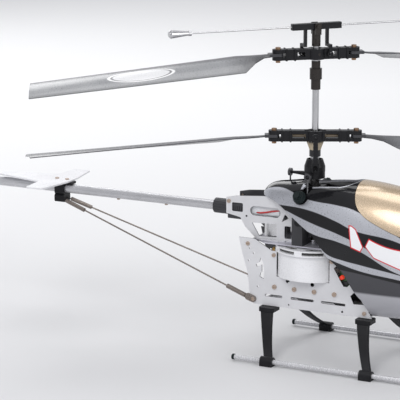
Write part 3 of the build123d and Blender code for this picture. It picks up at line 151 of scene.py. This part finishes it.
BOOM_SILVER = finish("anodised_boom", (0.56, 0.56, 0.58), metal=0.5, rough=0.26, stretch=LENGTHWISE,
                     bump=0.06, coat=0.2)
STEEL = finish("polished_steel", (0.60, 0.60, 0.61), metal=1.0, rough=0.22, stretch=UPRIGHT, bump=0.05)
BRONZE = finish("plated_screws", (0.50, 0.40, 0.33), metal=0.9, rough=0.32, bump=0.1)
MOTOR_CAN = finish("motor_can", (0.66, 0.66, 0.67), metal=1.0, rough=0.28, stretch=(1.0, 1.0, 0.1),
                   bump=0.05)
NYLON = finish("gear_nylon", (0.76, 0.76, 0.74), rough=0.45, bump=0.1)
BRASS = finish("pinion_brass", (0.70, 0.50, 0.22), metal=1.0, rough=0.3, bump=0.06)
COPPER = finish("brace_rod", (0.22, 0.19, 0.17), metal=0.6, rough=0.34, bump=0.08)
SHEET = finish("tail_sheet", (0.78, 0.78, 0.80), rough=0.34, coat=0.25, bump=0.08, tint=0.05)
SHEATH_RED = finish("wire_red", (0.55, 0.03, 0.03), rough=0.4, bump=0.1, grain=1500.0)
SHEATH_BLACK = finish("wire_black", (0.02, 0.02, 0.02), rough=0.45, bump=0.1, grain=1500.0)


# ---- materials with a pattern -----------------------------------------------------------
class Printed(Graph):
    """Material whose pattern is drawn on the side view: forward of the mast and up, in millimetres."""

    def __init__(self, name):
        super().__init__(name)
        parts = self.node("ShaderNodeSeparateXYZ", {"Vector": self.place}).outputs
        self.x = self.math("MULTIPLY", self.math("SUBTRACT", parts[0], MAST_X), 1000.0)
        self.y = self.math("ABSOLUTE", self.math("MULTIPLY", parts[1], 1000.0))
        self.z = self.math("MULTIPLY", parts[2], 1000.0)

    def inside(self, distance, soft=0.25):
        """1 where the distance is positive, with an edge half a millimetre wide."""
        return self.spread(distance, -soft, soft)

    def line(self, points):
        """Height of a smooth line through the points, as a function of x."""
        low, high = points[0][0], points[-1][0]
        base, top = 0.0, 200.0
        share = self.spread(self.x, low, high)
        made = self.node("ShaderNodeFloatCurve", {"Value": share})
        curve = made.mapping.curves[0]
        marks = [((x - low) / (high - low), (z - base) / (top - base)) for x, z in points]
        curve.points[0].location, curve.points[1].location = marks[0], marks[-1]
        for mark in marks[1:-1]:
            curve.points.new(*mark)
        made.mapping.update()
        return self.math("MULTIPLY_ADD", made.outputs[0], top - base, base)

    def band(self, upper, lower):
        """1 between the two lines."""
        below = self.inside(self.math("SUBTRACT", self.line(upper), self.z))
        above = self.inside(self.math("SUBTRACT", self.z, self.line(lower)))
        return self.math("MULTIPLY", below, above)

    def half(self, along_x, along_z, limit):
        """1 where along_x times x plus along_z times z is above the limit."""
        total = self.math("ADD", self.math("MULTIPLY", self.x, along_x),
                          self.math("MULTIPLY", self.z, along_z))
        return self.inside(self.math("SUBTRACT", total, limit))


# each silver stripe: its upper and its lower line, as points forward of the mast and up
STRIPES = (
    (((-54, 157), (-37, 165.5), (8, 159.9), (41, 158.4), (57, 156.1), (106, 135.2), (150, 112),
      (200, 97)),
     ((-54, 150), (-26, 151.5), (8, 151.0), (41, 143.8), (57, 138.3), (106, 130.3), (150, 109),
      (200, 96))),
    (((-16, 147), (16, 138.7), (43, 132.3), (65, 125.2), (107, 107.2), (150, 95.5), (200, 94)),
     ((-16, 142), (16, 129.2), (43, 125.0), (65, 119.3), (107, 100.3), (150, 92), (200, 92))),
    (((26, 116), (33, 111.0), (50, 107.2), (67, 105.0), (108, 98.9), (150, 90), (200, 90)),
     ((26, 110), (33, 107.5), (50, 102.8), (67, 99.0), (108, 94.0), (150, 87), (200, 88))))


def canopy_print():
    """Gloss black canopy with silver stripes, a painted highlight along the rim of the mast slot, a generic
    angular flash and a grey belly.
    """
    graph = Printed("canopy_print")
    print_and_highlight = graph.band(*STRIPES[0])
    for stripe in STRIPES[1:]:
        print_and_highlight = graph.math("MAXIMUM", print_and_highlight, graph.band(*stripe))
    # the stripes stop short of the rubber grommet
    from_grommet = graph.radius(graph.math("ADD", graph.x, 3.0), graph.math("SUBTRACT", graph.z, 164.0))
    print_and_highlight = graph.math("MULTIPLY", print_and_highlight, graph.inside(graph.math("SUBTRACT", from_grommet, 9.6)))
    # painted highlight: the rim along the slot that the mast stands in is painted silver, standing in for
    # the light it catches
    past_middle = graph.math("ABSOLUTE", graph.math("SUBTRACT", graph.x, 10.0))
    ahead = graph.math("MAXIMUM", graph.math("SUBTRACT", past_middle, 21.5), 0.0)
    from_slot = graph.radius(ahead, graph.y)
    rim_highlight = graph.math("MULTIPLY", graph.inside(graph.math("SUBTRACT", 20.0, from_slot)),
                     graph.inside(graph.math("SUBTRACT", graph.z, 150.0)))
    print_and_highlight = graph.math("MAXIMUM", print_and_highlight, graph.math("MULTIPLY", rim_highlight, graph.half(1.0, 0.0, -6.0)))
    belly_line = ((20, 98), (55, 97), (108, 90.5), (160, 84), (200, 84))
    belly = graph.inside(graph.math("SUBTRACT", graph.line(belly_line), graph.z))
    keel = graph.inside(graph.math("SUBTRACT", 76.0, graph.z), 1.2)
    # angular flash: two slanted bars joined by a wedge, white over a red edge
    def flash(grow):
        top = graph.line(((57, 141 + grow), (84, 127.5 + grow), (112, 122 + grow)))
        low = graph.line(((57, 122 - grow), (84, 113.5 - grow), (112, 104 - grow)))
        body = graph.math("MULTIPLY", graph.inside(graph.math("SUBTRACT", top, graph.z)),
                          graph.inside(graph.math("SUBTRACT", graph.z, low)))
        ends = graph.math("MULTIPLY", graph.half(1.0, 0.18, 80.5 - grow),
                          graph.half(-1.0, -0.18, -131.0 - grow))
        notch_a = graph.math("MULTIPLY", graph.half(1.0, 0.55, 137.5 + grow),
                             graph.half(-1.0, 0.45, -18.0 + grow))
        notch_b = graph.math("MULTIPLY", graph.half(1.0, -0.5, 8.5 + grow),
                             graph.half(-1.0, -0.9, -185.0 + grow))
        whole = graph.math("SUBTRACT", 1.0, graph.math("MAXIMUM", notch_a, notch_b), clamp=True)
        return graph.math("MULTIPLY", graph.math("MULTIPLY", body, ends), whole)
    red, white = flash(1.1), flash(0.0)
    fine = graph.noise(900.0, 2.0)
    cloud = graph.spread(graph.noise(30.0, 4.0), 0.3, 0.7)
    black = graph.mix(cloud, (0.006, 0.006, 0.007), (0.011, 0.011, 0.013))
    bright = graph.mix(cloud, (0.46, 0.47, 0.51), (0.53, 0.54, 0.58))
    colour = graph.mix(belly, black, (0.062, 0.062, 0.070))
    colour = graph.mix(keel, colour, (0.42, 0.42, 0.45))
    # silver stripes, together with the painted highlight on the rim of the mast slot
    colour = graph.mix(print_and_highlight, colour, bright)
    colour = graph.mix(red, colour, (0.62, 0.02, 0.03))
    colour = graph.mix(white, colour, (0.86, 0.86, 0.88))
    graph.feed(graph.shader.inputs["Base Color"], colour)
    metal = graph.math("MULTIPLY", print_and_highlight, graph.math("SUBTRACT", 0.55, graph.math("MULTIPLY", red, 0.55)))
    graph.feed(graph.shader.inputs["Metallic"], metal)
    rough = graph.math("ADD", graph.spread(fine, 0.3, 0.7, 0.08, 0.16), graph.math("MULTIPLY", print_and_highlight, 0.18))
    graph.feed(graph.shader.inputs["Roughness"], rough)
    graph.bump(fine, 0.02)
    graph.shader.inputs["Specular IOR Level"].default_value = 0.2
    graph.shader.inputs["Coat Weight"].default_value = 0.35
    graph.shader.inputs["Coat Roughness"].default_value = 0.05
    return graph.material


def blade_print(name, rotor, azimuth, turn, oval):
    """Smoky grey blade with a darker leading band and, on one rotor, an outlined oval sticker."""
    graph = Graph(name)
    hub = joint_at[f"{rotor}_rotor_spin"]
    parts = graph.node("ShaderNodeSeparateXYZ", {"Vector": graph.place}).outputs
    east = graph.math("MULTIPLY", graph.math("SUBTRACT", parts[0], hub.x), 1000.0)
    north = graph.math("MULTIPLY", parts[1], 1000.0)
    ux, uy = cos(radians(azimuth)), sin(radians(azimuth))
    out = graph.math("ADD", graph.math("MULTIPLY", east, ux), graph.math("MULTIPLY", north, uy))
    lead = graph.math("MULTIPLY", graph.math("ADD", graph.math("MULTIPLY", east, -uy),
                                             graph.math("MULTIPLY", north, ux)), turn)
    cloud = graph.spread(graph.noise(26.0, 4.0), 0.3, 0.7)
    fine = graph.noise(800.0, 2.0)
    smoky = graph.mix(cloud, (0.20, 0.205, 0.215), (0.27, 0.275, 0.285))
    band = graph.spread(lead, -5.0, 1.0)
    colour = graph.mix(band, smoky, (0.075, 0.075, 0.085))
    root = graph.spread(out, 96.0, 60.0)
    colour = graph.mix(root, colour, (0.035, 0.035, 0.04))
    trail = graph.spread(lead, -29.0, -27.0, 1.0, 0.0)
    colour = graph.mix(trail, colour, (0.13, 0.135, 0.14))
    if oval:
        along = graph.math("DIVIDE", graph.math("SUBTRACT", out, 176.0), 33.0)
        over = graph.math("DIVIDE", graph.math("ADD", lead, 13.0), 12.0)
        ring = graph.radius(along, over)
        colour = graph.mix(graph.spread(ring, 1.02, 0.98), colour, (0.80, 0.80, 0.80))
        colour = graph.mix(graph.spread(ring, 0.93, 0.89), colour, (0.15, 0.15, 0.16))
        colour = graph.mix(graph.spread(ring, 0.86, 0.82), colour, (0.66, 0.66, 0.67))
    graph.feed(graph.shader.inputs["Base Color"], colour)
    graph.feed(graph.shader.inputs["Roughness"], graph.spread(fine, 0.3, 0.7, 0.24, 0.4))
    graph.bump(fine, 0.05)
    graph.shader.inputs["Coat Weight"].default_value = 0.25
    graph.shader.inputs["Coat Roughness"].default_value = 0.12
    return graph.material


def window_gold():
    """Champagne windscreen with a soft pearl grain."""
    graph = Graph("windscreen_gold")
    cloud = graph.spread(graph.noise(22.0, 3.0), 0.3, 0.7)
    fine = graph.noise(1500.0, 2.0)
    gold = graph.mix(cloud, (0.52, 0.40, 0.27), (0.60, 0.47, 0.33))
    graph.feed(graph.shader.inputs["Base Color"],
               graph.mix(graph.spread(fine, 0.55, 0.75, 0.0, 0.3), gold, (0.74, 0.62, 0.46)))
    graph.feed(graph.shader.inputs["Roughness"], graph.spread(fine, 0.3, 0.7, 0.2, 0.32))
    graph.bump(fine, 0.03)
    graph.shader.inputs["Metallic"].default_value = 0.45
    graph.shader.inputs["Coat Weight"].default_value = 0.6
    graph.shader.inputs["Coat Roughness"].default_value = 0.06
    return graph.material


def battery_wrap():
    """White shrink wrap with a blue line along its shoulder."""
    graph = Printed("battery_wrap")
    cloud = graph.spread(graph.noise(60.0, 4.0), 0.3, 0.7)
    white = graph.mix(cloud, (0.74, 0.76, 0.79), (0.82, 0.83, 0.86))
    blue = graph.math("MULTIPLY", graph.half(0.0, 1.0, 144.2), graph.half(0.0, -1.0, -146.6))
    graph.feed(graph.shader.inputs["Base Color"], graph.mix(blue, white, (0.05, 0.10, 0.42)))
    fine = graph.noise(500.0, 4.0)
    graph.feed(graph.shader.inputs["Roughness"], graph.spread(fine, 0.3, 0.7, 0.18, 0.34))
    graph.bump(fine, 0.3)
    graph.shader.inputs["Coat Weight"].default_value = 0.4
    return graph.material


def circuit_board():
    """Green lacquered board with copper tracks; the raised chips are black."""
    graph = Printed("circuit_board")
    tracks = graph.node("ShaderNodeTexVoronoi", {"Vector": graph.place, "Scale": 420.0},
                        feature="DISTANCE_TO_EDGE").outputs[0]
    green = graph.mix(graph.spread(tracks, 0.03, 0.06), (0.09, 0.20, 0.08), (0.012, 0.085, 0.03))
    raised = graph.spread(graph.y, 21.75, 21.9)
    lamp_spot = graph.radius(graph.math("SUBTRACT", graph.x, 40.5), graph.math("SUBTRACT", graph.z, 84.5))
    lamp = graph.spread(lamp_spot, 2.3, 2.1)
    colour = graph.mix(raised, green, (0.02, 0.02, 0.022))
    graph.feed(graph.shader.inputs["Base Color"], graph.mix(lamp, colour, (0.75, 0.04, 0.02)))
    graph.feed(graph.shader.inputs["Emission Color"], (0.8, 0.05, 0.02, 1.0))
    graph.feed(graph.shader.inputs["Emission Strength"], graph.math("MULTIPLY", lamp, 0.5))
    graph.feed(graph.shader.inputs["Roughness"], graph.spread(graph.noise(900.0), 0.3, 0.7, 0.25, 0.4))
    graph.bump(tracks, 0.15)
    return graph.material


def plate_paint_with_inner_shade(name, inner):
    """White painted sheet, dark on the faces turned inwards and around the cutouts: painted shade for the
    shaded inside of the frame.
    """
    graph = Printed(name)
    cloud = graph.spread(graph.noise(38.0, 4.0), 0.3, 0.7)
    white = graph.mix(cloud, (0.66, 0.66, 0.68), (0.74, 0.74, 0.76))
    outside = graph.spread(graph.y, inner - 0.15, inner + 0.05)
    # painted shade: the faces nearer the middle than the outer face are dark
    graph.feed(graph.shader.inputs["Base Color"], graph.mix(outside, (0.05, 0.05, 0.055), white))
    fine = graph.noise(700.0, 3.0)
    graph.feed(graph.shader.inputs["Roughness"], graph.spread(fine, 0.3, 0.7, 0.28, 0.44))
    graph.bump(fine, 0.05)
    graph.feed(graph.shader.inputs["Metallic"], graph.math("MULTIPLY", outside, 0.15))
    graph.shader.inputs["Coat Weight"].default_value = 0.3
    graph.shader.inputs["Coat Roughness"].default_value = 0.12
    return graph.material


def by_height(name, marks, rough, metal):
    """Colour that changes at heights: marks are (from this height up, colour)."""
    graph = Printed(name)
    fine = graph.noise(900.0, 3.0)
    colour = marks[0][1]
    for height, next_colour in marks[1:]:
        colour = graph.mix(graph.spread(graph.z, height - 0.2, height + 0.2), colour, next_colour)
    cloud = graph.spread(graph.noise(60.0, 4.0), 0.3, 0.7, 0.0, 0.25)
    graph.feed(graph.shader.inputs["Base Color"], graph.mix(cloud, colour, (0.03, 0.03, 0.03)))
    graph.feed(graph.shader.inputs["Roughness"], graph.spread(fine, 0.3, 0.7, rough - 0.06, rough + 0.1))
    graph.bump(fine, 0.08)
    graph.shader.inputs["Metallic"].default_value = metal
    return graph.material


DARK_METAL = finish("dark_metal", (0.035, 0.030, 0.027), metal=0.5, rough=0.34, bump=0.06)
ROD_DARK = finish("control_rod", (0.10, 0.10, 0.105), metal=0.9, rough=0.32, bump=0.05)
NUT_COPPER = finish("copper_nut", (0.38, 0.24, 0.15), metal=0.9, rough=0.32, bump=0.06)
MAST_HEIGHTS = by_height("mast_tube", ((0.0, (0.10, 0.10, 0.10)), (186.0, (0.50, 0.50, 0.51)),
                                       (205.0, (0.10, 0.09, 0.08))), 0.26, 0.8)
CRADLE_HEIGHTS = by_height("cradle_nylon", ((0.0, (0.012, 0.012, 0.014)), (204.5, (0.50, 0.42, 0.30)),
                                            (215.0, (0.30, 0.24, 0.17))), 0.36, 0.0)

FINISHES = {
    plate_paint_with_inner_shade("lower_plate_paint", 25.9): ("lower_side_plates",),
    plate_paint_with_inner_shade("upper_plate_paint", 15.9): ("upper_side_plates",),
    FRAME_WHITE: ("bottom_plate",),
    DARK_METAL: ("upper_shaft_collars", "head_post", "head_pins"),
    ROD_DARK: ("pushrod_pitch", "pushrod_roll"),
    NUT_COPPER: ("upper_blade_bolts", "lower_blade_bolts"),
    MAST_HEIGHTS: ("outer_shaft",),
    GUARD_WHITE: ("gear_guard", "gear_cover_ring"),
    DECK_GREY: ("deck_plate",),
    BLACK: ("skid_legs", "boom_clip", "tail_mount_block", "tail_rotor"),
    RUBBER: ("skid_end_caps", "canopy_fasteners"),
    TUBE_WHITE: ("skid_tubes",),
    BOOM_SILVER: ("tail_boom",),
    PANEL_GREY: ("boom_clamp", "servos"),
    HEAD_BLACK: ("mast_bearing_block", "shaft_thrust_block", "upper_hub", "flybar_centre",
                 "flybar_link_a", "flybar_link_b", "lower_hub", "lower_pitch_link_a",
                 "lower_pitch_link_b", "swashplate_ball", "swashplate_ring", "swashplate_rotor",
                 "servo_arm_pitch", "servo_arm_roll"),
    STEEL: ("frame_spacers", "mast_bearings", "inner_shaft", "flybar_rods"),
    BRONZE: ("frame_screws",),
    MOTOR_CAN: ("motor_cans",),
    NYLON: ("upper_drive_gear", "lower_drive_gear"),
    BRASS: ("motor_pinion_front", "motor_pinion_rear"),
    COPPER: ("tail_braces",),
    SHEET: ("horizontal_stabiliser", "tail_fin"),
    CRADLE_HEIGHTS: ("lower_head_cradle",),
    canopy_print(): ("canopy_shell",),
    window_gold(): ("canopy_window",),
    battery_wrap(): ("battery_pack",),
    circuit_board(): ("receiver_board",),
}


def bearing_angle(name):
    """Azimuth of a blade's bolt from the mast, in degrees."""
    away = joint_at[f"{name}_fold"] - Vector((MAST_X, 0, 0))
    return -degrees(Vector((1, 0)).angle_signed(Vector((away.x, away.y))))


for rotor, turn in (("upper", -1), ("lower", 1)):
    for letter in "ab":
        blade = f"{rotor}_blade_{letter}"
        printed = blade_print(f"{blade}_print", rotor, bearing_angle(blade), turn, rotor == "upper")
        FINISHES[printed] = (blade,)

for material, names in FINISHES.items():
    for name in names:
        nodes[name].data.materials.clear()
        nodes[name].data.materials.append(material)
        nodes[name].data.polygons.foreach_set("material_index", [0] * len(nodes[name].data.polygons))


# ---- added pieces -----------------------------------------------------------------------
def tube(name, points, radius, material, body):
    """Round wire through the points, which are in millimetres from the mast."""
    line = bpy.data.curves.new(name, "CURVE")
    line.dimensions, line.bevel_depth, line.bevel_resolution = "3D", radius * MM, 4
    line.use_fill_caps = True
    spline = line.splines.new("NURBS")
    spline.points.add(len(points) - 1)
    for knot, point in zip(spline.points, points):
        knot.co = (*at(*point), 1.0)
    spline.use_endpoint_u, spline.order_u, line.resolution_u = True, 3, 10
    piece = bpy.data.objects.new(name, line)
    bpy.context.collection.objects.link(piece)
    line.materials.append(material)
    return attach(piece, body)


LEAD_R = 0.8
tube("battery_lead_red", ((-62.5, -9.5, 137.5), (-56, -12.8, 137.0), (-46, -13.3, 138.6),
                          (-38, -13.2, 140.8), (-30, -11.5, 141.5), (-26, -8, 141.0)),
     LEAD_R, SHEATH_RED, "frame")
tube("battery_lead_black", ((-62.5, -6.5, 136.5), (-65.5, -9.0, 137.5), (-66.0, -11.0, 141.0),
                            (-64.5, -12.0, 145.0), (-60, -10, 147.5), (-52, -6, 148.2), (-34, -6, 148.2),
                            (-28, -7.0, 146.0)), LEAD_R, SHEATH_BLACK, "frame")

# ---- camera, light, floor -----------------------------------------------------------------
CAMERA_PLACE = (933.0, -2082.3, 669.5)
CAMERA_TILT, CAMERA_TURN = 77.24, 26.97
LENS_MM, SENSOR_MM = 213.3, 36.0
camera = bpy.data.objects.new("camera", bpy.data.cameras.new("camera"))
camera.data.lens, camera.data.sensor_width = LENS_MM, SENSOR_MM
camera.data.clip_end = 20.0
camera.location = at(*CAMERA_PLACE)
camera.rotation_euler = (radians(CAMERA_TILT), 0.0, radians(CAMERA_TURN))
bpy.context.collection.objects.link(camera)
bpy.context.scene.camera = camera

floor_mesh = bpy.data.meshes.new("floor")
FLOOR_REACH = 6.0
corners = [(east * FLOOR_REACH, north * FLOOR_REACH, 0)
           for east, north in ((-1, -1), (1, -1), (1, 1), (-1, 1))]
floor_mesh.from_pydata(corners, [], [(0, 1, 2, 3)])
floor = bpy.data.objects.new("floor", floor_mesh)
bpy.context.collection.objects.link(floor)
floor_graph = Graph("pale_floor")
floor_tint = floor_graph.spread(floor_graph.noise(1.2, 2.0), 0.3, 0.7)
near_painted_shade = floor_graph.mix(floor_tint, (0.60, 0.60, 0.61), (0.63, 0.63, 0.64))
far_painted_light = floor_graph.mix(floor_tint, (0.94, 0.94, 0.94), (0.96, 0.96, 0.96))
# painted light and shade: the floor is greyer near the camera and pales away from it, as a lit studio
# backdrop looks
floor_place = floor_graph.node("ShaderNodeSeparateXYZ", {"Vector": floor_graph.place}).outputs
CAMERA_SLANT = 0.51          # tangent of the camera's turn
aside = floor_graph.math("MULTIPLY", floor_place[0], CAMERA_SLANT)
away = floor_graph.math("SUBTRACT", floor_place[1], aside)
floor_graph.feed(floor_graph.shader.inputs["Base Color"],
                 floor_graph.mix(floor_graph.spread(away, -0.3, 1.6), near_painted_shade, far_painted_light))
floor_graph.shader.inputs["Roughness"].default_value = 0.7
floor_mesh.materials.append(floor_graph.material)


def softbox(name, place, target, size, power):
    light = bpy.data.lights.new(name, "AREA")
    light.shape, light.size, light.energy = "DISK", size, power
    box = bpy.data.objects.new(name, light)
    box.location = place
    box.rotation_euler = (Vector(target) - Vector(place)).to_track_quat("-Z", "Y").to_euler()
    bpy.context.collection.objects.link(box)


MIDDLE = (MAST_X, 0.0, 0.18)
softbox("key_light", (0.2, -1.7, 1.7), MIDDLE, 1.3, 21.0)
softbox("fill_light", (1.9, -0.5, 0.9), MIDDLE, 1.2, 8.0)
softbox("top_light", (-0.3, 0.5, 2.2), MIDDLE, 1.6, 15.0)
softbox("back_light", (-1.5, 1.4, 1.2), MIDDLE, 1.2, 9.0)

WORLD_STRENGTH = 0.58
world = bpy.data.worlds.new("studio")
world.use_nodes = True
world.node_tree.nodes["Background"].inputs[0].default_value = (0.95, 0.96, 1.0, 1.0)
world.node_tree.nodes["Background"].inputs[1].default_value = WORLD_STRENGTH
bpy.context.scene.world = world
bpy.context.scene.view_settings.view_transform = "Standard"
